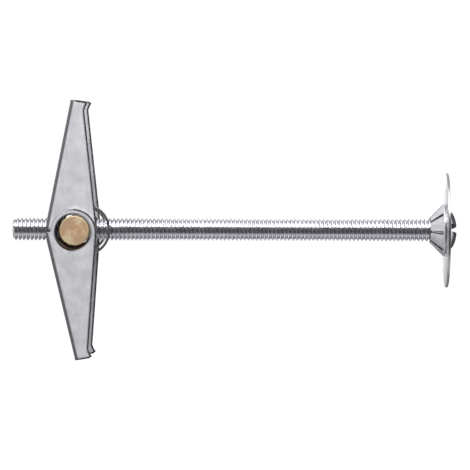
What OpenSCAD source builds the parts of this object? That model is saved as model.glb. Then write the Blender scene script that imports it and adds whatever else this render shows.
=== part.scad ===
// Spring toggle bolt for hollow ceilings: an M4 slotted bolt with its captive
// rosette, a trunnion nut, two sprung channel wings and the wire spring.
// The bolt lies along X with its head at +X. The wings open along Y and the
// trunnion lies along Z. The origin is on the bolt's axis, in the plane of the
// rosette's clamping face. Millimetres.

/* [Bolt] */
// Thread diameter over the crests
thread_d = 4; // [3.8:0.05:4]
// Length from the clamping face to the tip
bolt_l = 75; // [72:0.5:80]
// Chamfer on the tip
tip_chamfer = 0.45; // [0.2:0.05:0.6]
// Diameter of the head at its countersunk edge
head_d = 7.9; // [7.7:0.05:7.9]
// Diameter of the raised dome where it leaves the rosette
dome_d = 7.1; // [6.8:0.05:7.15]
// Height of the dome above the clamping face
dome_h = 1.99; // [1.6:0.05:2.2]
// Width of the driver slot
slot_w = 1.3; // [1.2:0.05:1.4]
// Depth of the driver slot below the top of the dome
slot_depth = 1.1; // [0.9:0.05:1.3]
// Turn of the slot away from the trunnion's direction, in degrees
slot_turn = 12; // [-90:1:90]

/* [Rosette] */
// Diameter of the disc
disc_d = 19.8; // [18:0.1:22]
// Thickness of the sheet
sheet = 0.4; // [0.35:0.05:0.45]
// Largest outside diameter of the petal cup
cup_d = 9.2; // [9:0.05:9.3]
// Distance from the clamping face to the cup's largest diameter
cup_rim_x = 0.3; // [0.25:0.01:0.35]
// Number of petals in the cup
petals = 8; // [6:2:10]
// Width of the slit between two petals
petal_slit = 0.22; // [0.15:0.01:0.3]
// Angle of the first slit from the trunnion's direction, in degrees
petal_turn = -3; // [-22:1:22]

/* [Trunnion nut] */
// Distance of the trunnion's axis behind the clamping face
trunnion_x = 64; // [60:0.5:66]
// Diameter of the trunnion
trunnion_d = 5.1; // [5:0.05:5.1]
// How far the trunnion stands out of the cheeks at each end
trunnion_proud = 0.12; // [0.05:0.01:0.3]
// Chamfer on the trunnion's ends
trunnion_chamfer = 0.12; // [0.1:0.01:0.4]

/* [Wings] */
// Outside depth of one channel
channel_w = 8.35; // [8.35:0.05:8.6]
// Thickness of the wing sheet
wing_sheet = 0.7; // [0.6:0.05:0.7]
// Outside radius of the two folds of the channel
fold_r = 0.9; // [0.8:0.05:1.3]
// Length of a wing from the trunnion's axis to its end
wing_l = 22.5; // [21:0.5:24]
// Distance of the back of the channel from the trunnion, at the trunnion
back_x = 5.28; // [5.1:0.01:5.4]
// Slant of the back of the channel, in degrees
back_slant = 12.35; // [12:0.05:13]
// Distance of the front edge from the trunnion, at the trunnion
front_x = 3.9; // [3.8:0.01:3.95]
// Slant of the front edge, in degrees
front_slant = 5.25; // [4.5:0.05:5.5]
// Radius of the round lug at the trunnion
lug_r = 4; // [3.9:0.05:4.05]
// Radius of the trunnion hole
hole_r = 3.05; // [3:0.01:3.1]
// How far the spring pushes each hole outwards past the trunnion
hole_play = 0.3; // [0.2:0.05:0.45]
// How far the opened pair leans from square to the bolt, in degrees
lean = 0.95; // [0:0.05:2]

/* [Spring] */
// Diameter of the spring wire
wire_d = 0.45; // [0.4:0.01:0.45]
// Radius of the coil on the near side
near_coil_r = 4.37; // [4.2:0.01:4.5]
// Radius of the coil on the far side
far_coil_r = 3.9; // [3.7:0.05:4.1]
// Length of the spring's legs from the trunnion's axis
leg_l = 9; // [7:0.5:10]

/* [Hidden] */

smooth = 96;
small = 0.02;
past = 1;

// bolt and rosette share one 90 degree seat
bolt_r = thread_d / 2;
head_r = head_d / 2;
cup_r = cup_d / 2;
seat_gap = 0.04;
wall = sheet * sqrt(2);
neck_step = 0.5;
// the face's seat starts outside the cup, in a faint drawn-in ring
relief_depth = 0.05;
relief_r = cup_r + 0.1;
cup_outer_at_face = cup_r + cup_rim_x;
cup_inner_at_face = cup_outer_at_face - wall;
head_at_face = cup_inner_at_face - seat_gap * sqrt(2);
bore_r = bolt_r + 0.06;
petal_tip = 0.15;
petal_root = 0.25;

// the two wings are one stamping, nested by one sheet and a gap
nest_gap = 0.05;
nest = (wing_sheet + nest_gap) / 2;
nut_l = channel_w + 2 * nest + 2 * trunnion_proud;
trunnion_r = trunnion_d / 2;
nut_bore_r = bolt_r + 0.05;
notch_r = 2.45;
notch_end = 3.05;
lug_shift = -0.2;

// wire layers between the bolt and the inner cheeks
wire_r = wire_d / 2;
wire_gap = 0.075;
inner_z = bolt_r + wire_gap + wire_r;
outer_z = inner_z + wire_d + 0.05;
coil_back = -(trunnion_r + wire_gap + wire_r);
leg_end = -back_x + wing_sheet / cos(back_slant) + leg_l * tan(back_slant) + wire_r + 0.06;
bridge_r = 0.7;
coil_steps = 32;
corner_steps = 4;
wire_sides = 8;

// ---- wings: a rounded channel cut to the cheek's outline ----

// back and front edges of the cheek at the distance u along the wing
function back_at(u) = -back_x + u * tan(back_slant);
function front_at(u) = front_x - u * tan(front_slant);

// outline of a cheek: x towards the bolt's head, y along the wing
module cheek_outline() {
    heel = 0.3;
    heel_x = -4.86;
    knee = 1.7;
    neck = wing_l - 1.9;
    tooth_x = 2.6;
    lug_front = front_slant;
    lug_back = -178.5;
    lug_steps = 28;
    lug = [
        for (i = [0 : lug_steps])
            let (a = lug_front + (lug_back - lug_front) * i / lug_steps)
            [lug_shift + lug_r * cos(a), hole_play + lug_r * sin(a)]
    ];
    polygon(concat(lug, [
        [heel_x, heel],
        [back_at(knee), knee],
        [back_at(wing_l), wing_l],
        [front_at(neck) + 0.2, wing_l - 0.4],
        [tooth_x, wing_l - 0.7],
        [front_at(neck) + 0.25, wing_l - 1.2],
        [front_at(neck), neck]
    ]));
}

// section of a channel with rounded folds, open towards +y
module channel_section(width, r, depth) {
    translate([-width / 2, r])
        square([width, depth - r]);
    translate([-width / 2 + r, 0])
        square([width - 2 * r, depth]);
    for (side = [-1, 1])
        translate([side * (width / 2 - r), r])
            circle(r = r, $fn = smooth / 2);
}

// the channel section run along the slanted back of the wing
module along_back(inset, width, r) {
    run = wing_l * 1.5;
    translate([-back_x, 0, 0])
        rotate([0, 0, -back_slant])
            translate([inset, run, 0])
                rotate([90, 0, 0])
                    linear_extrude(height = 2 * run)
                        rotate(-90)
                            channel_section(width, r, 4 * lug_r);
}

// one wing, pointing along +Y, centred on z = 0
module wing() {
    inside_w = channel_w - 2 * wing_sheet;
    difference() {
        intersection() {
            translate([0, 0, -channel_w / 2])
                linear_extrude(height = channel_w)
                    cheek_outline();
            along_back(0, channel_w, fold_r);
        }
        along_back(wing_sheet, inside_w, fold_r - wing_sheet);
        // trunnion hole through both cheeks
        translate([lug_shift, hole_play, -channel_w])
            cylinder(r = hole_r, h = 2 * channel_w, $fn = smooth);
        // round-ended notch in the back for the bolt
        translate([-2 * back_x, notch_end - notch_r, 0])
            rotate([0, 90, 0])
                cylinder(r = notch_r, h = 2 * back_x, $fn = smooth);
        translate([-2 * back_x, -lug_r, -notch_r])
            cube([2 * back_x, lug_r + notch_end - notch_r, 2 * notch_r]);
    }
}

module upper_wing() {
    color([0.76, 0.77, 0.8])
        translate([-trunnion_x, 0, -nest])
            rotate([0, 0, lean])
                wing();
}

// the same stamping, turned over about the bolt's axis
module lower_wing() {
    color([0.76, 0.77, 0.8])
        translate([-trunnion_x, 0, 0])
            rotate([0, 0, lean])
                rotate([180, 0, 0])
                    translate([0, 0, -nest])
                        wing();
}

// ---- trunnion nut: a pin across the wings, bored for the bolt ----

module trunnion_nut() {
    color([0.8, 0.66, 0.42])
        translate([-trunnion_x, 0, 0])
            difference() {
                rotate_extrude($fn = smooth)
                    polygon([
                        [0, -nut_l / 2],
                        [trunnion_r - trunnion_chamfer, -nut_l / 2],
                        [trunnion_r, -nut_l / 2 + trunnion_chamfer],
                        [trunnion_r, nut_l / 2 - trunnion_chamfer],
                        [trunnion_r - trunnion_chamfer, nut_l / 2],
                        [0, nut_l / 2]
                    ]);
                translate([-lug_r, 0, 0])
                    rotate([0, 90, 0])
                        cylinder(r = nut_bore_r, h = 2 * lug_r, $fn = smooth);
            }
}

// ---- spring: one wire, a coil each side of the bolt, four legs ----

// one turn round the trunnion, from the outer layer to the inner one
function coil(r) = [
    for (i = [0 : coil_steps])
        let (a = 180 + 360 * i / coil_steps)
        [
            coil_back + r + r * cos(a),
            r * sin(a),
            outer_z + (inner_z - outer_z) * i / coil_steps
        ]
];

// upper leg, turning into the bridge that joins both sides
function upper_leg() = [
    for (i = [0 : corner_steps])
        let (a = 90 * (1 - i / corner_steps))
        [
            leg_end,
            leg_l - bridge_r + bridge_r * sin(a),
            outer_z - bridge_r + bridge_r * cos(a)
        ]
];

// one side of the spring, from the bridge to the free end of the lower leg
function half(r) = concat(upper_leg(), coil(r), [[leg_end, -leg_l, inner_z]]);

function reversed(list) = [for (i = [len(list) - 1 : -1 : 0]) list[i]];
function mirrored(list) = [for (p = list) [p[0], p[1], -p[2]]];
function unit(v) = v / norm(v);

// a round wire swept along points, its rings squared to a fixed side
module wire(points, r) {
    count = len(points);
    rings = [
        for (i = [0 : count - 1])
            let (
                before = points[max(i - 1, 0)],
                after = points[min(i + 1, count - 1)],
                ahead = unit(after - before),
                side = unit(cross(ahead, [0.97, 0.05, 0.24])),
                up = cross(side, ahead)
            )
            [
                for (k = [0 : wire_sides - 1])
                    let (a = 360 * k / wire_sides)
                    points[i] + r * (cos(a) * side + sin(a) * up)
            ]
    ];
    corners = [for (ring = rings) for (p = ring) p];
    first = [for (k = [wire_sides - 1 : -1 : 0]) k];
    last = [for (k = [0 : wire_sides - 1]) (count - 1) * wire_sides + k];
    skin = [
        for (i = [0 : count - 2])
            for (k = [0 : wire_sides - 1])
                let (
                    here = i * wire_sides,
                    next = (k + 1) % wire_sides
                )
                [
                    here + k,
                    here + next,
                    here + wire_sides + next,
                    here + wire_sides + k
                ]
    ];
    polyhedron(points = corners, faces = concat([first], skin, [last]));
}

module toggle_spring() {
    path = concat(reversed(half(near_coil_r)), mirrored(half(far_coil_r)));
    color([0.45, 0.45, 0.47])
        translate([-trunnion_x, 0, 0])
            rotate([0, 0, lean])
                wire(path, wire_r);
}

// ---- rosette: one pressed sheet, a disc with a cup of petals ----

// section, x along the bolt and y away from its axis
module rosette_section() {
    polygon([
        [bore_r - cup_inner_at_face, bore_r],
        [bore_r + petal_tip - cup_outer_at_face, bore_r + petal_tip],
        [-cup_rim_x - small, cup_r - small],
        [-cup_rim_x + 0.08, cup_r - 0.03],
        [relief_depth, cup_r - neck_step],
        [relief_depth, relief_r],
        [0, relief_r + relief_depth],
        [0, disc_d / 2],
        [sheet, disc_d / 2],
        [sheet, dome_d / 2 + 0.09],
        [0.1, dome_d / 2 + 0.09],
        [-cup_rim_x + small, cup_inner_at_face - cup_rim_x + small]
    ]);
}

module rosette() {
    slit_end = cup_rim_x + petal_root;
    color([0.8, 0.81, 0.83])
        difference() {
            rotate([0, 90, 0])
                rotate([0, 0, 90])
                    rotate_extrude($fn = smooth)
                        rotate(90)
                            mirror([0, 1])
                                rosette_section();
            for (i = [0 : petals / 2 - 1])
                rotate([-petal_turn - i * 360 / petals, 0, 0])
                    translate([-cup_outer_at_face, -petal_slit / 2, -cup_d])
                        cube([cup_outer_at_face - slit_end, petal_slit, 2 * cup_d]);
        }
}

// ---- bolt: fully threaded shank and raised countersunk slotted head ----

module bolt() {
    dome_x = 0.3;
    arc_steps = 12;
    seat_x = head_r - head_at_face;
    dome_r = dome_d / 2;
    dome = [
        for (i = [1 : arc_steps])
            let (a = 90 * i / arc_steps)
            [dome_r * cos(a), dome_x + (dome_h - dome_x) * sin(a)]
    ];
    color([0.72, 0.72, 0.75])
        difference() {
            rotate([0, 90, 0])
                rotate_extrude($fn = smooth)
                    polygon(concat([
                        [0, -bolt_l],
                        [bolt_r - tip_chamfer, -bolt_l],
                        [bolt_r, -bolt_l + tip_chamfer],
                        [bolt_r, bolt_r - head_at_face],
                        [head_r, seat_x],
                        [dome_r + 0.03, seat_x + head_r - dome_r - 0.03],
                        [dome_r, dome_x]
                    ], dome));
            rotate([-slot_turn, 0, 0])
                translate([dome_h - slot_depth, -slot_w / 2, -head_d])
                    cube([slot_depth + past, slot_w, 2 * head_d]);
        }
}

trunnion_nut();
upper_wing();
lower_wing();
toggle_spring();
rosette();
bolt();
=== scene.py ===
# %% [markdown]
# # A spring toggle bolt, dressed in Blender
#
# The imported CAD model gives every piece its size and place. This script adds what
# the solids leave out: the real thread on the bolt, the spring as bent round wire,
# and a finish for each metal. It then sets up a floor, soft lights and a camera.

import math

import bmesh
import bpy
from mathutils import Matrix, Vector


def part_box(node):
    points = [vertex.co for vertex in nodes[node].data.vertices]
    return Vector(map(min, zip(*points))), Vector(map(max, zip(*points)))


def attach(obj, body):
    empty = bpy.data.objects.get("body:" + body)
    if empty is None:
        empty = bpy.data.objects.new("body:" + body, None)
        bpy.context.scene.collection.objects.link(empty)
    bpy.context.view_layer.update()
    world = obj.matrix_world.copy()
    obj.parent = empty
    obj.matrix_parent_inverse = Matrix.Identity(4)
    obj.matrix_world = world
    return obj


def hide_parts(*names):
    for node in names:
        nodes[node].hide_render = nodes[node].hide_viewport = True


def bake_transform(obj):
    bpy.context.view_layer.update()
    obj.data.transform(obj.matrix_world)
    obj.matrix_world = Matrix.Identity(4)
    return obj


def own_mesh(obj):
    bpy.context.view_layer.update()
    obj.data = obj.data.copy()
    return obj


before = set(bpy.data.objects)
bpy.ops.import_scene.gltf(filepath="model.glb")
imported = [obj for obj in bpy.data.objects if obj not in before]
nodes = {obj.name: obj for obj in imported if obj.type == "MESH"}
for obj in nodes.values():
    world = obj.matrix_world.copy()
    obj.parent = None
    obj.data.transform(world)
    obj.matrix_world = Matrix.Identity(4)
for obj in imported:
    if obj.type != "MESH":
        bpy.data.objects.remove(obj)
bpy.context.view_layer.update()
MM = 0.001
print("nodes:", sorted(nodes))

# %% [markdown]
# ## Where things are
#
# The bolt lies along X with its head at +X. The trunnion nut's axis runs along Z.
# Both ends of the bolt and the trunnion's place are read from the CAD boxes, so the
# new pieces can't drift away from the solids that they replace.

# %% Read the places from the CAD boxes
bolt_low, bolt_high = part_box("bolt")
nut_low, nut_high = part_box("trunnion_nut")
tip_x = bolt_low.x
dome_top_x = bolt_high.x
trunnion_x = (nut_low.x + nut_high.x) / 2
trunnion_r = (nut_high.x - nut_low.x) / 2
print(f"tip {tip_x / MM:.2f} mm, dome {dome_top_x / MM:.2f} mm")
print(f"trunnion at {trunnion_x / MM:.2f} mm, radius {trunnion_r / MM:.2f} mm")

# %% [markdown]
# ## Helpers for materials
#
# Colours are chosen as sRGB hex values, the way a paint chart gives them. Blender's
# sockets want linear light, so one function turns one into the other. A second
# function adds a node with its settings and its links, whatever kind it is.
#
# Most sockets go by name. A Math node calls all its inputs by one name, and a Mix
# node has a set of sockets for each kind of value, so those go by number.
#
# Wear, film and painted light and shade are laid over a finish in layers: each has a
# mask, which says where it shows, and a tone.


# %% Turn a hex colour to linear light
def linear(hex_colour):
    """RGBA in linear light for a colour such as "C8C8CC"."""
    channels = [int(hex_colour[i : i + 2], 16) / 255 for i in (0, 2, 4)]
    return [c / 12.92 if c <= 0.04045 else ((c + 0.055) / 1.055) ** 2.4 for c in channels] + [1.0]


# %% Add a node
MIX_FACTOR, MIX_COLOUR_A, MIX_COLOUR_B = 0, 6, 7
MIXED_COLOUR = 2


def add(tree, kind, inputs, **settings):
    """Adds a node. Inputs go by name or number: a socket is linked, anything else is set."""
    made = tree.nodes.new(kind)
    for name, value in settings.items():
        setattr(made, name, value)
    for name, value in inputs.items():
        if isinstance(value, bpy.types.NodeSocket):
            tree.links.new(value, made.inputs[name])
        else:
            made.inputs[name].default_value = value
    return made


# %% Start a material, lay tones over it and put it on a piece
def new_material(name):
    """A material with its node tree, its Principled shader and its object coordinates."""
    material = bpy.data.materials.new(name)
    material.use_nodes = True
    tree = material.node_tree
    shader = tree.nodes["Principled BSDF"]
    place = add(tree, "ShaderNodeTexCoord", {}).outputs["Object"]
    return material, tree, shader, place


def per_mm(size):
    """A noise texture's scale, in features per metre, for features this many mm apart."""
    return 1 / (size * MM)


def wear_and_painted_light(tree, colour, layers):
    """Lays each tone over the colour as far as its mask says, with the last one on top."""
    for mask, tone in layers:
        mixed = add(
            tree,
            "ShaderNodeMix",
            {MIX_FACTOR: mask, MIX_COLOUR_A: colour, MIX_COLOUR_B: linear(tone)},
            data_type="RGBA",
        )
        colour = mixed.outputs[MIXED_COLOUR]
    return colour


def dress(name, material):
    """Gives a CAD node its one material."""
    nodes[name].data.materials.clear()
    nodes[name].data.materials.append(material)
    print(f"{name}: {material.name}")


# %% [markdown]
# ## Helpers for objects
#
# A new object shows once it is linked to the scene's collection. A curve, or a mesh
# with a modifier, is turned into a plain mesh in the end, so that the shape that
# shows is the shape that is kept.


# %% Add objects, and finish their meshes
def add_object(name, data):
    made = bpy.data.objects.new(name, data)
    bpy.context.scene.collection.objects.link(made)
    return made


def finished_mesh(source):
    """An object's mesh, as its curve settings or its modifiers leave it."""
    bpy.context.view_layer.update()
    graph = bpy.context.evaluated_depsgraph_get()
    return bpy.data.meshes.new_from_object(source.evaluated_get(graph))


# %% [markdown]
# ## Masks for stamped sheet
#
# A blank that has been sheared from strip keeps a rolled corner along its cut. Its edges
# are painted as dark lines: a painted shade for rolled corners that turn away from the light.
# A Bevel node rounds the normal close to an edge. How far that leans from the face's
# own normal says how close the edge is, which gives the mask without a painted texture.
#
# Other masks go by place. The distance from the trunnion's axis finds the nut's own
# edge and the holes that turn on it. The distance from the bolt's axis finds the
# thread's roots and the rosette's rim.


# %% Find the edges, for the painted edge shade
def near_edge_mask(tree, rounded):
    """1 at a sharp edge, and 0 where the rounded normal agrees with the face's own."""
    hardly_leaning, fully_leaning = 0.995, 0.95  # cosines of 6 and 18 degrees
    face = add(tree, "ShaderNodeNewGeometry", {}).outputs["Normal"]
    lean = add(tree, "ShaderNodeVectorMath", {0: rounded, 1: face}, operation="DOT_PRODUCT")
    return add(
        tree,
        "ShaderNodeMapRange",
        {"Value": lean.outputs["Value"], "From Min": hardly_leaning, "From Max": fully_leaning},
        interpolation_type="SMOOTHSTEP",
    ).outputs["Result"]


# %% Measure from an axis
def from_trunnion(tree, place):
    """The distance from the trunnion's axis, in metres."""
    flat = add(
        tree,
        "ShaderNodeMapping",
        {"Vector": place, "Location": (-trunnion_x, 0, 0), "Scale": (1, 1, 0)},
    ).outputs["Vector"]
    return add(tree, "ShaderNodeVectorMath", {0: flat}, operation="LENGTH").outputs["Value"]


def from_bolt(tree, place):
    """The distance from the bolt's axis, in metres."""
    flat = add(tree, "ShaderNodeMapping", {"Vector": place, "Scale": (0, 1, 1)}).outputs["Vector"]
    return add(tree, "ShaderNodeVectorMath", {0: flat}, operation="LENGTH").outputs["Value"]


# %% [markdown]
# ## Zinc-plated sheet for the wings
#
# The wings are stamped from steel strip, folded, and then barrel-plated with zinc.
# The blanks tumble against each other in the bath, so the plating is matt and
# cloudy: patches about 2 mm across reflect a little more or less, with a fine grain
# over them and short scratches along the strip. The colour is a cool pale grey.


# %% Cloud the plating
def plated_clouds(tree, place):
    """The plating's colour and roughness before any wear."""
    cloud_size, streak_width = 2.2, 0.5  # in mm
    streak_share = 0.35
    clouds = add(
        tree,
        "ShaderNodeTexNoise",
        {"Vector": place, "Scale": per_mm(cloud_size), "Detail": 5.0, "Roughness": 0.62},
    ).outputs["Fac"]
    along_strip = {"Vector": place, "Scale": (1.0, 0.22, 1.0)}
    stretched = add(tree, "ShaderNodeMapping", along_strip).outputs["Vector"]
    streaks = add(
        tree,
        "ShaderNodeTexNoise",
        {"Vector": stretched, "Scale": per_mm(streak_width), "Detail": 3.0},
    ).outputs["Fac"]
    tone = add(tree, "ShaderNodeMix", {"A": clouds, "B": streaks, "Factor": streak_share})
    colour = add(tree, "ShaderNodeValToRGB", {"Fac": tone.outputs["Result"]})
    tones = ((0.36, "DFDFE5"), (0.64, "F0F0F2"))
    for stop, (position, hex_colour) in zip(colour.color_ramp.elements, tones):
        stop.position, stop.color = position, linear(hex_colour)
    rough = add(
        tree,
        "ShaderNodeMapRange",
        {"Value": clouds, "From Min": 0.3, "From Max": 0.7, "To Min": 0.66, "To Max": 0.74},
    )
    return colour.outputs["Color"], rough.outputs["Result"]


# %% [markdown]
# The folds are painted darker: a painted shade where the bend turns away from the light.
# The folds are where the sheet's own normal turns from Z to -X, so a band of that turn
# gives the mask.


# %% Find the folds
def folds(tree):
    """1 half way round a fold, and 0 on the cheeks and on the back."""
    normal = add(tree, "ShaderNodeTexCoord", {}).outputs["Normal"]
    backward = add(tree, "ShaderNodeSeparateXYZ", {"Vector": normal}).outputs["X"]
    begins = add(
        tree,
        "ShaderNodeMapRange",
        {"Value": backward, "From Min": -0.12, "From Max": -0.4},
        interpolation_type="SMOOTHSTEP",
    )
    ends = add(
        tree,
        "ShaderNodeMapRange",
        {"Value": backward, "From Min": -0.985, "From Max": -0.8},
        interpolation_type="SMOOTHSTEP",
    )
    both = {0: begins.outputs["Result"], 1: ends.outputs["Result"]}
    return add(tree, "ShaderNodeMath", both, operation="MULTIPLY").outputs["Value"]


# %% [markdown]
# The holes turn on the trunnion, so their walls pick up its tan film and old oil.
# So does the flat ring of the inner lug that shows in the gap beside the trunnion.
# The tone is also much darker than the plating, a painted shade for the gap and the walls.


# %% Find the surfaces round the trunnion, for its film and painted shade
def film_and_shade(tree, place):
    """1 on the walls of the holes, and on the inner lugs beside the trunnion."""
    clean_r, filmed_r = 3.7 * MM, 3.5 * MM
    outer_lug_z, inner_lug_z = 3.9 * MM, 3.8 * MM
    normal = add(tree, "ShaderNodeTexCoord", {}).outputs["Normal"]
    upward = add(tree, "ShaderNodeSeparateXYZ", {"Vector": normal}).outputs["Z"]
    level = add(tree, "ShaderNodeMath", {0: upward}, operation="ABSOLUTE").outputs["Value"]
    upright = {"Value": level, "From Min": 0.75, "From Max": 0.45}
    wall = add(tree, "ShaderNodeMapRange", upright).outputs["Result"]
    height = add(tree, "ShaderNodeSeparateXYZ", {"Vector": place}).outputs["Z"]
    from_middle = add(tree, "ShaderNodeMath", {0: height}, operation="ABSOLUTE").outputs["Value"]
    below_outer = {"Value": from_middle, "From Min": outer_lug_z, "From Max": inner_lug_z}
    inner = add(tree, "ShaderNodeMapRange", below_outer).outputs["Result"]
    either = add(tree, "ShaderNodeMath", {0: wall, 1: inner}, operation="MAXIMUM").outputs["Value"]
    close_by = {"Value": from_trunnion(tree, place), "From Min": clean_r, "From Max": filmed_r}
    near = add(tree, "ShaderNodeMapRange", close_by).outputs["Result"]
    return add(tree, "ShaderNodeMath", {0: either, 1: near}, operation="MULTIPLY").outputs["Value"]


# %% [markdown]
# The edge mask is weakened where the rounded normal turns to -X, on the piece's own
# axes. So the painted edge shade is darkest on edges that face +X, where the light is
# weakest, and fainter on edges that face -X.


# %% Make the barrel-plated zinc
def barrel_plated_zinc():
    material, tree, shader, place = new_material("barrel_plated_zinc")
    colour, rough = plated_clouds(tree, place)
    rounded = add(tree, "ShaderNodeBevel", {"Radius": 0.75 * MM}, samples=12).outputs["Normal"]
    own = add(
        tree,
        "ShaderNodeVectorTransform",
        {"Vector": rounded},
        vector_type="NORMAL",
        convert_from="WORLD",
        convert_to="OBJECT",
    )
    forward = add(tree, "ShaderNodeSeparateXYZ", {"Vector": own.outputs["Vector"]}).outputs["X"]
    edge_shade_by_side = add(
        tree,
        "ShaderNodeMapRange",
        {"Value": forward, "From Min": -0.3, "From Max": 0.05, "To Min": 0.35, "To Max": 1.0},
    ).outputs["Result"]
    both = {0: near_edge_mask(tree, rounded), 1: edge_shade_by_side}
    edge = add(tree, "ShaderNodeMath", both, operation="MULTIPLY").outputs["Value"]
    # Painted shade on the folds and along the edges. The tan tone near the trunnion is its film,
    # darkened as painted shade for the gap.
    layers = [(folds(tree), "828286"), (film_and_shade(tree, place), "8F7A6A"), (edge, "2E2C30")]
    colour = wear_and_painted_light(tree, colour, layers)
    torn = add(tree, "ShaderNodeMix", {"Factor": edge, "A": rough, "B": 0.6})
    fine = {"Vector": place, "Scale": per_mm(0.22), "Detail": 2.0}
    grain = add(tree, "ShaderNodeTexNoise", fine).outputs["Fac"]
    bump = add(
        tree,
        "ShaderNodeBump",
        {"Height": grain, "Strength": 0.25, "Distance": 0.02 * MM, "Normal": rounded},
    )
    tree.links.new(colour, shader.inputs["Base Color"])
    tree.links.new(torn.outputs["Result"], shader.inputs["Roughness"])
    tree.links.new(bump.outputs["Normal"], shader.inputs["Normal"])
    shader.inputs["Metallic"].default_value = 1.0
    return material


wing_zinc = barrel_plated_zinc()
for name in ("upper_wing", "lower_wing"):
    dress(name, wing_zinc)

# %% [markdown]
# ## Bright zinc for the bolt and the rosette
#
# Rolled threads and pressed sheet are smooth before they are plated, so the same
# zinc is brighter here. Only a light haze breaks it up, and each piece adds painted
# shade over it.


# %% Make the bright zinc
def bright_zinc(name, tones, roughness):
    """Hazy bright zinc. Its parts are returned as well, so that a piece can add its own painted
    shade.
    """
    material, tree, shader, place = new_material(name)
    haze = add(
        tree,
        "ShaderNodeTexNoise",
        {"Vector": place, "Scale": per_mm(1.6), "Detail": 4.0, "Roughness": 0.6},
    ).outputs["Fac"]
    colour = add(tree, "ShaderNodeValToRGB", {"Fac": haze})
    for stop, position, tone in zip(colour.color_ramp.elements, (0.38, 0.62), tones):
        stop.position, stop.color = position, linear(tone)
    low, high = roughness
    rough = add(
        tree,
        "ShaderNodeMapRange",
        {"Value": haze, "From Min": 0.35, "From Max": 0.65, "To Min": low, "To Max": high},
    )
    tree.links.new(colour.outputs["Color"], shader.inputs["Base Color"])
    tree.links.new(rough.outputs["Result"], shader.inputs["Roughness"])
    shader.inputs["Metallic"].default_value = 1.0
    return material, tree, shader, place, colour.outputs["Color"], rough.outputs["Result"]


# %% [markdown]
# The thread's roots are painted darker than its crests: a painted shade down in the
# grooves. The distance from the bolt's axis tells one from the other, along the shank only.

# %% Paint shade into the thread's roots in the bolt's finish
bolt_zinc, tree, shader, place, colour, rough = bright_zinc(
    "bright_zinc_bolt", ("DEDFE5", "ECECF1"), (0.22, 0.26)
)
along = add(tree, "ShaderNodeSeparateXYZ", {"Vector": place}).outputs["X"]
shank_from = tip_x + 0.02 * MM
shank_to = -2.3 * MM
unshaded_r = 1.9 * MM
root_shade_r = 1.62 * MM
shank_middle, shank_half = (shank_from + shank_to) / 2, (shank_to - shank_from) / 2
within = {0: along, 1: shank_middle, 2: shank_half}
on_shank = add(tree, "ShaderNodeMath", within, operation="COMPARE").outputs["Value"]
inward = {"Value": from_bolt(tree, place), "From Min": unshaded_r, "From Max": root_shade_r}
deep = add(tree, "ShaderNodeMapRange", inward).outputs["Result"]
root_shade = add(tree, "ShaderNodeMath", {0: deep, 1: on_shank}, operation="MULTIPLY").outputs["Value"]
# Painted shade in the thread's roots.
colour = wear_and_painted_light(tree, colour, [(root_shade, "C6C6CC")])
print("bolt:", bolt_zinc.name)

# %% [markdown]
# The driver slot is painted dark grey and made dull: a painted shade in the narrow
# recess. Its floor and walls are the only surfaces that lie within half its width of
# its middle plane, which gives the mask.

# %% Paint shade into the slot in the bolt's finish
slot_w = 1.3 * MM
slot_depth = 1.1 * MM
slot_turn = math.radians(12)
slot_wall = slot_w / 2
slot_floor_x = dome_top_x - slot_depth
margin = 0.02 * MM
across = {0: place, 1: (0, math.cos(slot_turn), -math.sin(slot_turn))}
sideways = add(tree, "ShaderNodeVectorMath", across, operation="DOT_PRODUCT").outputs["Value"]
off_middle = add(tree, "ShaderNodeMath", {0: sideways}, operation="ABSOLUTE").outputs["Value"]
between_walls = add(
    tree,
    "ShaderNodeMapRange",
    {"Value": off_middle, "From Min": slot_wall + margin, "From Max": slot_wall + margin / 2},
).outputs["Result"]
above_floor = add(
    tree,
    "ShaderNodeMapRange",
    {"Value": along, "From Min": slot_floor_x - margin, "From Max": slot_floor_x - margin / 2},
).outputs["Result"]
both = {0: between_walls, 1: above_floor}
in_slot = add(tree, "ShaderNodeMath", both, operation="MULTIPLY").outputs["Value"]
matt = add(tree, "ShaderNodeMix", {"Factor": in_slot, "A": rough, "B": 0.55})
# Painted shade in the slot.
tree.links.new(wear_and_painted_light(tree, colour, [(in_slot, "74747A")]), shader.inputs["Base Color"])
tree.links.new(matt.outputs["Result"], shader.inputs["Roughness"])
print(f"slot: {slot_w / MM:.1f} mm wide, {slot_depth / MM:.1f} mm deep")

# %% [markdown]
# The rosette's cup is pressed into eight petals, cut apart along their sides. The sides
# are painted darker, a painted shade in the slits, and the disc's rim and the cup's edges
# are painted darker as painted shade too. The angle round the bolt says how far a point is from the
# next slit.

# %% Paint shade along the rosette's slits, its rim and its edges
petals = 8
petal_turn = math.radians(-3)
cup_from = -0.4 * MM
cup_fully = -0.7 * MM
rim_from = 9.76 * MM
rim_fully = 9.84 * MM
rosette_zinc, tree, shader, place, colour, rough = bright_zinc(
    "bright_zinc_rosette", ("DADADF", "ECECF0"), (0.28, 0.31)
)
parts = add(tree, "ShaderNodeSeparateXYZ", {"Vector": place}).outputs
depth = {"Value": parts["X"], "From Min": cup_from, "From Max": cup_fully}
in_cup = add(tree, "ShaderNodeMapRange", depth).outputs["Result"]
round_bolt = {0: parts["Y"], 1: parts["Z"]}
angle = add(tree, "ShaderNodeMath", round_bolt, operation="ARCTAN2").outputs["Value"]
turn_by_petals = {0: angle, 1: petals / 2, 2: -petal_turn * petals / 2}
half_petals = add(tree, "ShaderNodeMath", turn_by_petals, operation="MULTIPLY_ADD").outputs["Value"]
wave = add(tree, "ShaderNodeMath", {0: half_petals}, operation="SINE").outputs["Value"]
off_slit = add(tree, "ShaderNodeMath", {0: wave}, operation="ABSOLUTE").outputs["Value"]
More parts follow.
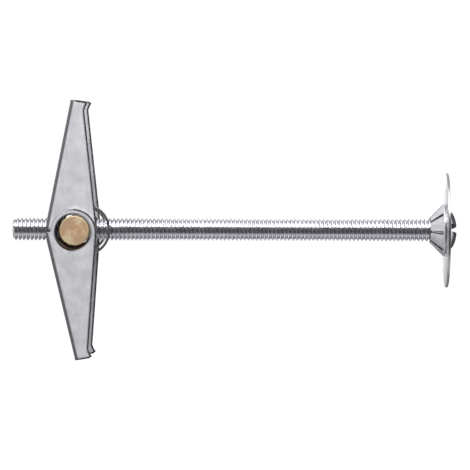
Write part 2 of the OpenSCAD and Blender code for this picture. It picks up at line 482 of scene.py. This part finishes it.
beside_slit = add(
    tree,
    "ShaderNodeMapRange",
    {"Value": off_slit, "From Min": 0.42, "From Max": 0.18},
    interpolation_type="SMOOTHSTEP",
).outputs["Result"]
both = {0: beside_slit, 1: in_cup}
slit_shade = add(tree, "ShaderNodeMath", both, operation="MULTIPLY").outputs["Value"]
outward = {"Value": from_bolt(tree, place), "From Min": rim_from, "From Max": rim_fully}
rim = add(tree, "ShaderNodeMapRange", outward).outputs["Result"]
rounded = add(tree, "ShaderNodeBevel", {"Radius": 0.2 * MM}, samples=6).outputs["Normal"]
both = {0: near_edge_mask(tree, rounded), 1: in_cup}
edge = add(tree, "ShaderNodeMath", both, operation="MULTIPLY").outputs["Value"]
# Painted shade beside the slits, on the rim and along the cup's edges.
colour = wear_and_painted_light(tree, colour, [(slit_shade, "66666A"), (rim, "A6A6AA"), (edge, "3C3B40")])
torn = add(tree, "ShaderNodeMix", {"Factor": edge, "A": rough, "B": 0.6})
tree.links.new(colour, shader.inputs["Base Color"])
tree.links.new(torn.outputs["Result"], shader.inputs["Roughness"])
tree.links.new(rounded, shader.inputs["Normal"])
dress("rosette", rosette_zinc)

# %% [markdown]
# ## Yellow-passivated steel for the trunnion nut
#
# The nut is turned from bar, zinc-plated and dipped in a yellow chromate bath. It
# leaves a thin tan film with orange clouds, and the tool's rings show through on the
# two ends. The film is matt. Round the edge it is painted paler, a painted highlight.
#
# A wave texture turns by 20 radians for each unit of its scale, which is why the
# scale is divided by 20: the rings stand 2 pi times 0.25 mm apart.


# %% Make the yellow passivation
def yellow_passivated_steel():
    material, tree, shader, place = new_material("yellow_passivated_steel")
    pale_from, pale_fully = trunnion_r - 0.3 * MM, trunnion_r - 0.1 * MM
    ring_scale = per_mm(0.25) / 20
    clouds = add(
        tree,
        "ShaderNodeTexNoise",
        {"Vector": place, "Scale": per_mm(1.9), "Detail": 4.0, "Roughness": 0.6},
    )
    colour = add(tree, "ShaderNodeValToRGB", {"Fac": clouds.outputs["Fac"]})
    colour.color_ramp.elements.new(0.5)
    tones = ((0.36, "CEB89B"), (0.5, "DAB494"), (0.64, "E7DABD"))
    for stop, (position, hex_colour) in zip(colour.color_ramp.elements, tones):
        stop.position, stop.color = position, linear(hex_colour)
    # Painted highlight: a paler ring round the nut's edge.
    outward = {"Value": from_trunnion(tree, place), "From Min": pale_from, "From Max": pale_fully}
    edge = add(tree, "ShaderNodeMapRange", outward).outputs["Result"]
    film = wear_and_painted_light(tree, colour.outputs["Color"], [(edge, "D9C9A7")])
    centred = add(tree, "ShaderNodeMapping", {"Vector": place, "Location": (-trunnion_x, 0, 0)})
    rings = add(
        tree,
        "ShaderNodeTexWave",
        {"Vector": centred.outputs["Vector"], "Scale": ring_scale, "Distortion": 0.6},
        wave_type="RINGS",
        rings_direction="Z",
    )
    rounded = add(tree, "ShaderNodeBevel", {"Radius": 0.12 * MM}, samples=6)
    bump = add(
        tree,
        "ShaderNodeBump",
        {
            "Height": rings.outputs["Fac"],
            "Strength": 0.3,
            "Distance": 0.01 * MM,
            "Normal": rounded.outputs["Normal"],
        },
    )
    tree.links.new(film, shader.inputs["Base Color"])
    tree.links.new(bump.outputs["Normal"], shader.inputs["Normal"])
    shader.inputs["Metallic"].default_value = 1.0
    shader.inputs["Roughness"].default_value = 0.72
    return material


dress("trunnion_nut", yellow_passivated_steel())

# %% [markdown]
# ## Drawn spring wire
#
# Spring wire is drawn through a die and left oiled, so it is grey, smooth and a
# little streaked along its length.


# %% Make the spring wire's finish
def drawn_spring_steel():
    material, tree, shader, place = new_material("drawn_spring_steel")
    fine = {"Vector": place, "Scale": per_mm(0.6), "Detail": 3.0}
    streaks = add(tree, "ShaderNodeTexNoise", fine).outputs["Fac"]
    colour = add(tree, "ShaderNodeValToRGB", {"Fac": streaks})
    tones = ((0.35, "6E6D70"), (0.65, "9C9B9E"))
    for stop, (position, hex_colour) in zip(colour.color_ramp.elements, tones):
        stop.position, stop.color = position, linear(hex_colour)
    tree.links.new(colour.outputs["Color"], shader.inputs["Base Color"])
    shader.inputs["Metallic"].default_value = 1.0
    shader.inputs["Roughness"].default_value = 0.4
    return material


spring_steel = drawn_spring_steel()
print("spring:", spring_steel.name)

# %% [markdown]
# ## The bolt, with its real thread
#
# The CAD bolt is a plain rod, because a helix is slow to check and adds nothing to
# a fit. Here it gets a real M4 thread: a 0.7 mm pitch, right-handed, with flanks at
# about 60 degrees. The mesh follows the helix, so that every crest is one clean line:
# each column is one step of the turn and each row one point of the thread's section.

# %% The M4 thread's sizes
pitch = 0.7 * MM
crest_r = 1.98 * MM
root_r = 1.58 * MM
crest_flat = pitch / 8
root_flat = pitch / 6
steps_per_turn = 40
hair = 1e-7  # in metres: points that are closer than this count as one
flank = (pitch - crest_flat - root_flat) / 2
section = [
    (0.0, crest_r),
    (crest_flat, crest_r),
    (crest_flat + flank, root_r),
    (crest_flat + flank + root_flat, root_r),
]
print(f"thread depth {(crest_r - root_r) / MM:.2f} mm, {abs(tip_x) / pitch:.0f} turns")

# %% [markdown]
# The crests and roots are flat and the flanks straight, with sharp corners between
# them, so each turn shows its own lines of light and shade.
#
# The helix starts before the tip and ends past the head's seat. Two flat cuts give
# it its ends, and each leaves a ring of points that the next step builds on. Four
# more cuts near each end add the points that follow the chamfer and the seat's cone.


# %% Sweep the thread's section along the helix
def helix_mesh(x_from, x_to):
    """A bmesh of the thread's skin from before x_from to past x_to."""
    skin = bmesh.new()
    turns = math.ceil((x_to - x_from) / pitch) + 2
    columns = []
    for i in range(turns * steps_per_turn + 1):
        angle = 2 * math.pi * i / steps_per_turn
        x = x_from - pitch + pitch * i / steps_per_turn
        y, z = math.cos(angle), math.sin(angle)
        columns.append([skin.verts.new((x + along, r * y, r * z)) for along, r in section])
    for i in range(len(columns) - 1 - steps_per_turn):
        here, following = columns[i], columns[i + 1]
        rows = here + [columns[i + steps_per_turn][0]]
        rows_following = following + [columns[i + 1 + steps_per_turn][0]]
        for j in range(len(section)):
            skin.faces.new((rows[j], rows[j + 1], rows_following[j + 1], rows_following[j]))
    return skin


def cut(skin, x, keep=0):
    """Cuts the skin square to the bolt at x. With keep 1 or -1, only that side of it stays."""
    bmesh.ops.bisect_plane(
        skin,
        geom=skin.verts[:] + skin.edges[:] + skin.faces[:],
        plane_co=(x, 0, 0),
        plane_no=(1, 0, 0),
        dist=hair,
        clear_inner=keep > 0,
        clear_outer=keep < 0,
    )


# %% Cut both ends and shape them
bolt_r = 2.0 * MM
chamfer = 0.45 * MM
seat_cone = 4.278 * MM  # the seat leans 45 degrees, so its radius at x is x + seat_cone
seat_end_x = crest_r - seat_cone
thread = helix_mesh(tip_x, seat_end_x)
cut(thread, tip_x, keep=1)
cut(thread, seat_end_x, keep=-1)
for share in (0.25, 0.5, 0.75, 1.0):
    cut(thread, tip_x + chamfer * share)
    cut(thread, seat_end_x - (crest_r - root_r) * share)
stray = [v for v in thread.verts if not v.link_faces]
bmesh.ops.delete(thread, geom=stray, context="VERTS")
for v in thread.verts:
    r = math.hypot(v.co.y, v.co.z)
    chamfered = min(r, bolt_r - chamfer + (v.co.x - tip_x))
    shaped = max(chamfered, v.co.x + seat_cone)
    v.co.y *= shaped / r
    v.co.z *= shaped / r
print(f"thread: {len(thread.faces)} faces")

# %% [markdown]
# The head is turned in one with the shank, so its rings carry on from the ring of
# points that the cut left: the countersunk seat, the edge, and the raised dome.

# %% Close the tip, and grow the head from the last ring
head_r = 3.95 * MM
edge_x = head_r - seat_cone
edge_round = 0.1 * MM
blunt = 0.02 * MM
shoulder = 0.34 * MM  # from the edge to where the dome's slope ends
dome_r = 3.55 * MM
dome_start_x = 0.3 * MM
dome_steps = 14


def end_ring(skin, x):
    """The points at x, in order round the bolt."""
    ring = [v for v in skin.verts if abs(v.co.x - x) < hair]
    return sorted(ring, key=lambda v: math.atan2(v.co.z, v.co.y))


def grow(skin, ring, outline):
    """Adds one ring of points for each (x, radius) in outline, and returns the last."""
    for x, r in outline:
        angles = [math.atan2(v.co.z, v.co.y) for v in ring]
        following = [skin.verts.new((x, r * math.cos(a), r * math.sin(a))) for a in angles]
        for k in range(len(ring)):
            m = (k + 1) % len(ring)
            skin.faces.new((ring[k], ring[m], following[m], following[k]))
        ring = following
    return ring


def close(skin, ring, x):
    """Closes a ring with a fan of faces round one point at x."""
    middle = skin.verts.new((x, 0, 0))
    for k in range(len(ring)):
        skin.faces.new((ring[k], ring[(k + 1) % len(ring)], middle))


head_outline = [
    (edge_x - edge_round, head_r - edge_round),
    (edge_x - 1.5 * blunt, head_r - blunt),
    (edge_x + blunt, head_r - blunt),
    (edge_x + shoulder, dome_r + 2 * blunt),
    (dome_start_x, dome_r),
]
for k in range(1, dome_steps):
    a = math.pi / 2 * k / dome_steps
    x = dome_start_x + (dome_top_x - dome_start_x) * math.sin(a)
    head_outline.append((x, dome_r * math.cos(a)))
close(thread, end_ring(thread, tip_x), tip_x)
close(thread, grow(thread, end_ring(thread, seat_end_x), head_outline), dome_top_x)
bmesh.ops.recalc_face_normals(thread, faces=thread.faces[:])

# %% [markdown]
# The driver slot is milled across the dome. A box is taken away with a Boolean
# modifier, which is what the cutter does.


# %% Turn a bmesh into an object
def shade(mesh):
    """Smooths the turned surfaces, and leaves every corner over 30 degrees sharp."""
    mesh.shade_smooth()
    mesh.set_sharp_from_angle(angle=math.radians(30))


def object_from(skin, name, material):
    mesh = bpy.data.meshes.new(name)
    skin.to_mesh(mesh)
    skin.free()
    mesh.materials.append(material)
    shade(mesh)
    return add_object(name, mesh)


# %% Mill the slot, and keep the finished bolt
cutter_skin = bmesh.new()
bmesh.ops.create_cube(cutter_skin, size=1.0)
cutter = object_from(cutter_skin, "slot_cutter", bolt_zinc)
cutter.scale = (2 * slot_depth, slot_w, 4 * head_r)
cutter.rotation_euler = (-slot_turn, 0, 0)
cutter.location = (dome_top_x, 0, 0)
bolt = object_from(thread, "threaded_bolt", bolt_zinc)
mill = bolt.modifiers.new("slot", "BOOLEAN")
mill.operation = "DIFFERENCE"
mill.solver = "EXACT"
mill.object = cutter
milled = finished_mesh(bolt)
bolt.modifiers.clear()
bolt.data = milled
shade(bolt.data)
bpy.data.objects.remove(cutter)
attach(bolt, "bolt")
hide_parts("bolt")
print(f"bolt: {len(bolt.data.polygons)} faces")

# %% [markdown]
# ## The spring, as round wire
#
# One wire makes the spring: a leg in each half of each wing, a coil each side of
# the bolt, and a bridge that joins both sides inside the upper wing. The coils stay
# on the trunnion while the legs swing with the wings, so the wire is made in seven
# lengths that meet end to end: two halves of each coil, and three lengths of leg.
#
# Its places are given from the trunnion's middle, with X towards the head, Y along
# the opened upper wing and Z along the trunnion. All of it leans a little with the
# wings, which is what the last line is for.

# %% The spring's sizes
wire_r = 0.225 * MM
near_coil_r = 4.37 * MM
far_coil_r = 3.9 * MM
coil_back = -2.85 * MM
inner_z = 2.3 * MM
outer_z = 2.8 * MM
leg_end = -2.31 * MM
leg_l = 9.0 * MM
bridge_r = 0.7 * MM
lean = math.radians(0.95)
coil_steps = 48
leg_steps = 12
bridge_steps = 6
place_spring = Matrix.Translation((trunnion_x, 0, 0)) @ Matrix.Rotation(lean, 4, "Z")


# %% Lay wire along points
def wire(name, points):
    """A round wire through points, which are given on the trunnion's own axes."""
    curve = bpy.data.curves.new(name, "CURVE")
    curve.dimensions = "3D"
    curve.bevel_depth = wire_r
    curve.bevel_resolution = 4
    curve.use_fill_caps = True
    path = curve.splines.new("POLY")
    path.points.add(len(points) - 1)
    for point, at in zip(path.points, points):
        point.co = (*(place_spring @ Vector(at)), 1)
    source = add_object(name, curve)
    mesh = finished_mesh(source)
    bpy.data.objects.remove(source)
    mesh.name = name
    mesh.materials.clear()
    mesh.materials.append(spring_steel)
    mesh.shade_smooth()
    made = add_object(name, mesh)
    return made


# %% Where the wire runs
def coil_points(side, r):
    """One turn of a coil, from its outer end to its inner one. side is 1 near and -1 far."""
    points = []
    for k in range(coil_steps + 1):
        a = math.pi + 2 * math.pi * k / coil_steps
        z = outer_z + (inner_z - outer_z) * k / coil_steps
        points.append((coil_back + r + r * math.cos(a), r * math.sin(a), side * z))
    return points


def straight(start, end):
    a, b = Vector(start), Vector(end)
    return [a.lerp(b, k / leg_steps) for k in range(leg_steps + 1)]


def bridge_points(side):
    """The rounded corner where a leg turns into the bridge, from the bridge's end."""
    points = []
    for k in range(bridge_steps + 1):
        a = math.pi / 2 * (1 - k / bridge_steps)
        y = leg_l - bridge_r + bridge_r * math.sin(a)
        z = outer_z - bridge_r + bridge_r * math.cos(a)
        points.append((leg_end, y, side * z))
    return points


# %% [markdown]
# A leg is pulled round as its wing folds, and that draws the coil's own half of the
# wire in a little. It shows on the near coil, which is the wider one and would
# otherwise touch the folded wing, so each of its halves gets a mesh of its own.

# %% Wind the coils, in halves
half = coil_steps // 2
for side, word, r in ((1, "near", near_coil_r), (-1, "far", far_coil_r)):
    points = coil_points(side, r)
    for wing, part in (("lower", points[: half + 1]), ("upper", points[half:])):
        coil = wire(f"spring_{word}_{wing}_coil", part)
        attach(coil, "nut")
        if word == "near":
            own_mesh(coil)
print("spring: four half coils")

# %% Run the legs
for side, word in ((1, "near"), (-1, "far")):
    coil_bottom = (coil_back, 0, side * inner_z)
    leg_tip = (leg_end, -leg_l, side * inner_z)
    lower_leg = wire(f"spring_{word}_lower_leg", straight(coil_bottom, leg_tip))
    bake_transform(lower_leg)
near_side, far_side = bridge_points(1), bridge_points(-1)
upper_route = straight((coil_back, 0, outer_z), near_side[-1]) + near_side[-2::-1]
upper_route += far_side + straight(far_side[-1], (coil_back, 0, -outer_z))[1:]
upper_legs = wire("spring_upper_legs", upper_route)
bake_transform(upper_legs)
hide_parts("toggle_spring")
print("spring: three lengths of leg")

# %% [markdown]
# ## Floor
#
# The rosette is the widest piece, and it moves a long way along the bolt's axis as
# the toggle is screwed up. So the floor lies level with that axis, just under the
# rosette's rim, and the whole part clears it wherever its pieces stand.
#
# Small hardware reads best against pure white, from a backdrop that is lit from
# below and so much brighter than the metal. The metal itself must not see that white
# all round, or it would have no dark lines and no form. So the floor is made twice: a
# white sweep that only the camera sees, and a table with cards on it that only light
# and reflections see.

# %% Find the floor's height
rosette_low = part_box("rosette")[0]
floor_z = rosette_low.z - 0.02 * MM
far = 3.0  # in metres, from the part to each side of the stage
print(f"floor {-floor_z / MM:.2f} mm below the bolt's axis")


# %% Choose the papers
def paper(name, colour, glow=0.0):
    """Matt paper with a faint tooth. It may glow, as opal acrylic does over a lamp."""
    material, tree, shader, place = new_material(name)
    grain = add(tree, "ShaderNodeTexNoise", {"Vector": place, "Scale": per_mm(1.2), "Detail": 3.0})
    tooth = add(
        tree,
        "ShaderNodeBump",
        {"Height": grain.outputs["Fac"], "Strength": 0.05, "Distance": 0.05 * MM},
    )
    tree.links.new(tooth.outputs["Normal"], shader.inputs["Normal"])
    shader.inputs["Base Color"].default_value = linear(colour)
    shader.inputs["Roughness"].default_value = 0.9
    shader.inputs["Emission Color"].default_value = linear("FFFFFF")
    shader.inputs["Emission Strength"].default_value = glow
    return material


# %% Lay a flat sheet on the floor
def sheet(name, material, x_range, y_range, for_camera=False, lift=0.0):
    """A sheet that is seen either by the camera, or by light and metal."""
    corners = [(x, y, lift) for x in x_range for y in y_range]
    mesh = bpy.data.meshes.new(name)
    mesh.from_pydata(corners, [], [(0, 2, 3, 1)])
    mesh.materials.append(material)
    made = add_object(name, mesh)
    made.location = (0, 0, floor_z)
    made.visible_camera = for_camera
    for ray in ("diffuse", "glossy", "transmission", "volume_scatter", "shadow"):
        setattr(made, "visible_" + ray, not for_camera)
    return made


# %% Raise the white sweep's sides
sweep = sheet("white_sweep", paper("opal_acrylic", "F4F4F4", 1.0), (-far, far), (-far, far), True)
bowl = bmesh.new()
bowl.from_mesh(sweep.data)
raised = bmesh.ops.extrude_edge_only(bowl, edges=bowl.edges[:])["geom"]
top = [v for v in raised if isinstance(v, bmesh.types.BMVert)]
bmesh.ops.translate(bowl, vec=(0, 0, far), verts=top)
bowl.to_mesh(sweep.data)
bowl.free()
print("white sweep with sides", far, "m high")

# %% [markdown]
# The cards give the metal its form. White paper under the shank and beyond it, on
# the upper wing's side, makes the bright band along the bolt. A glowing strip at the
# rosette's foot whitens its inner face, which reflects hardly anything else. A dark
# card past the head stands in for the rosette's shadow on the floor there, a painted
# shadow that keeps the dome black.

# %% Lay the table and the cards that only the metal sees
white_paper = paper("white_paper", "F4F4F4")
head_side = 4 * MM
cup_side = -14 * MM
wing_side = -50 * MM
back_side = 30 * MM
shank_side = -9 * MM
cup_card_side = 7 * MM
strip_x = (-1.6 * MM, -0.3 * MM)
strip_y = (-12 * MM, 12 * MM)
dark_reach = 40 * MM
card = 0.01 * MM
sheet("grey_table", paper("grey_paper", "C4C4C4"), (-far, far), (-far, far))
sheet("shank_card", white_paper, (wing_side, cup_side), (shank_side, back_side), lift=card)
sheet("cup_card", white_paper, (cup_side, head_side), (cup_card_side, back_side), lift=card)
sheet("back_card", white_paper, (-far, head_side), (back_side, far), lift=card)
sheet("foot_strip", paper("lit_strip", "F4F4F4", 0.8), strip_x, strip_y, lift=card)
# A painted shadow: dark paper where the rosette's shadow falls past the head.
painted_shadow_paper = paper("painted_shadow_paper", "3C3C3C")
sheet("painted_shadow_card", painted_shadow_paper, (head_side, dark_reach), (-dark_reach, dark_reach), lift=card)
print("one table and five cards")

# %% [markdown]
# ## Camera
#
# A long lens looks almost straight down. Its place is given by the point it looks
# at, how far it is, and three small turns: the head leans a little towards it, it
# stands a little above the upper wing, and the bolt runs slightly downhill.

# %% Place the camera
image_side = 470
focal_in_pixels = 2330
camera_distance = 404.77 * MM
look_at = Vector((-36.44 * MM, -0.93 * MM, 0))
lean_to_camera = math.radians(1.7)
above_upper_wing = math.radians(3.37)
downhill = math.radians(0.19)

towards_camera = Vector(
    (
        math.sin(lean_to_camera),
        math.cos(lean_to_camera) * math.sin(above_upper_wing),
        math.cos(lean_to_camera) * math.cos(above_upper_wing),
    )
)
level_right = Vector((1, 0, 0))
level_right = (level_right - level_right.dot(towards_camera) * towards_camera).normalized()
level_up = towards_camera.cross(level_right)
right = level_right * math.cos(downhill) + level_up * math.sin(downhill)
up = towards_camera.cross(right)

camera_data = bpy.data.cameras.new("camera")
camera_data.sensor_width = 36
camera_data.lens = camera_data.sensor_width * focal_in_pixels / image_side
camera_data.clip_start = 0.01
camera = add_object("camera", camera_data)
turned = Matrix((right, up, towards_camera)).transposed().to_4x4()
camera.matrix_world = Matrix.Translation(look_at + towards_camera * camera_distance) @ turned
bpy.context.scene.camera = camera
print(f"lens {camera_data.lens:.1f} mm on a {camera_data.sensor_width:.0f} mm sensor")

# %% [markdown]
# ## Light
#
# A large soft box stands on the upper wing's side, with a narrow bright one over it
# that lights the flat wings at a slant. A dimmer box on the other side turns the
# bolt's lower flank mid-grey. Two weak ones face the tip and the head. The part over
# the lens stays unlit, so that the bolt keeps a dark line along its middle.
#
# A box has its size in metres. It hangs at an azimuth, which turns from the head's
# side towards the upper wing, and at an elevation, both in degrees.


# %% Hang the soft boxes
box_distance = 0.55


def soft_box(name, brightness, size, azimuth, elevation):
    """A rectangle of light facing the toggle bolt. In a mirror, a brightness of 1 reads as white."""
    data = bpy.data.lights.new(name, "AREA")
    data.shape = "RECTANGLE"
    data.size, data.size_y = size
    data.energy = brightness * math.pi * size[0] * size[1]
    box = add_object(name, data)
    turn, rise = math.radians(azimuth), math.radians(elevation)
    level = math.cos(rise)
    away = Vector((math.cos(turn) * level, math.sin(turn) * level, math.sin(rise)))
    box.location = look_at + away * box_distance
    box.rotation_euler = (-away).to_track_quat("-Z", "Y").to_euler()


soft_box("upper_box", 3.6, (0.6, 0.34), 95, 19)
soft_box("slanting_box", 10.2, (0.5, 0.14), 90, 41)
soft_box("lower_box", 0.9, (1.1, 0.42), -90, 19)
soft_box("tip_box", 1.0, (0.8, 0.24), 180, 14)
soft_box("head_box", 0.8, (0.8, 0.26), 0, 14)
print("five soft boxes")

# %% Dim the room
room = bpy.data.worlds.new("grey_room")
room.use_nodes = True
background = room.node_tree.nodes["Background"]
background.inputs["Color"].default_value = linear("B8B8BA")
background.inputs["Strength"].default_value = 0.26
bpy.context.scene.world = room
bpy.context.scene.view_settings.view_transform = "Standard"
print("room:", room.name)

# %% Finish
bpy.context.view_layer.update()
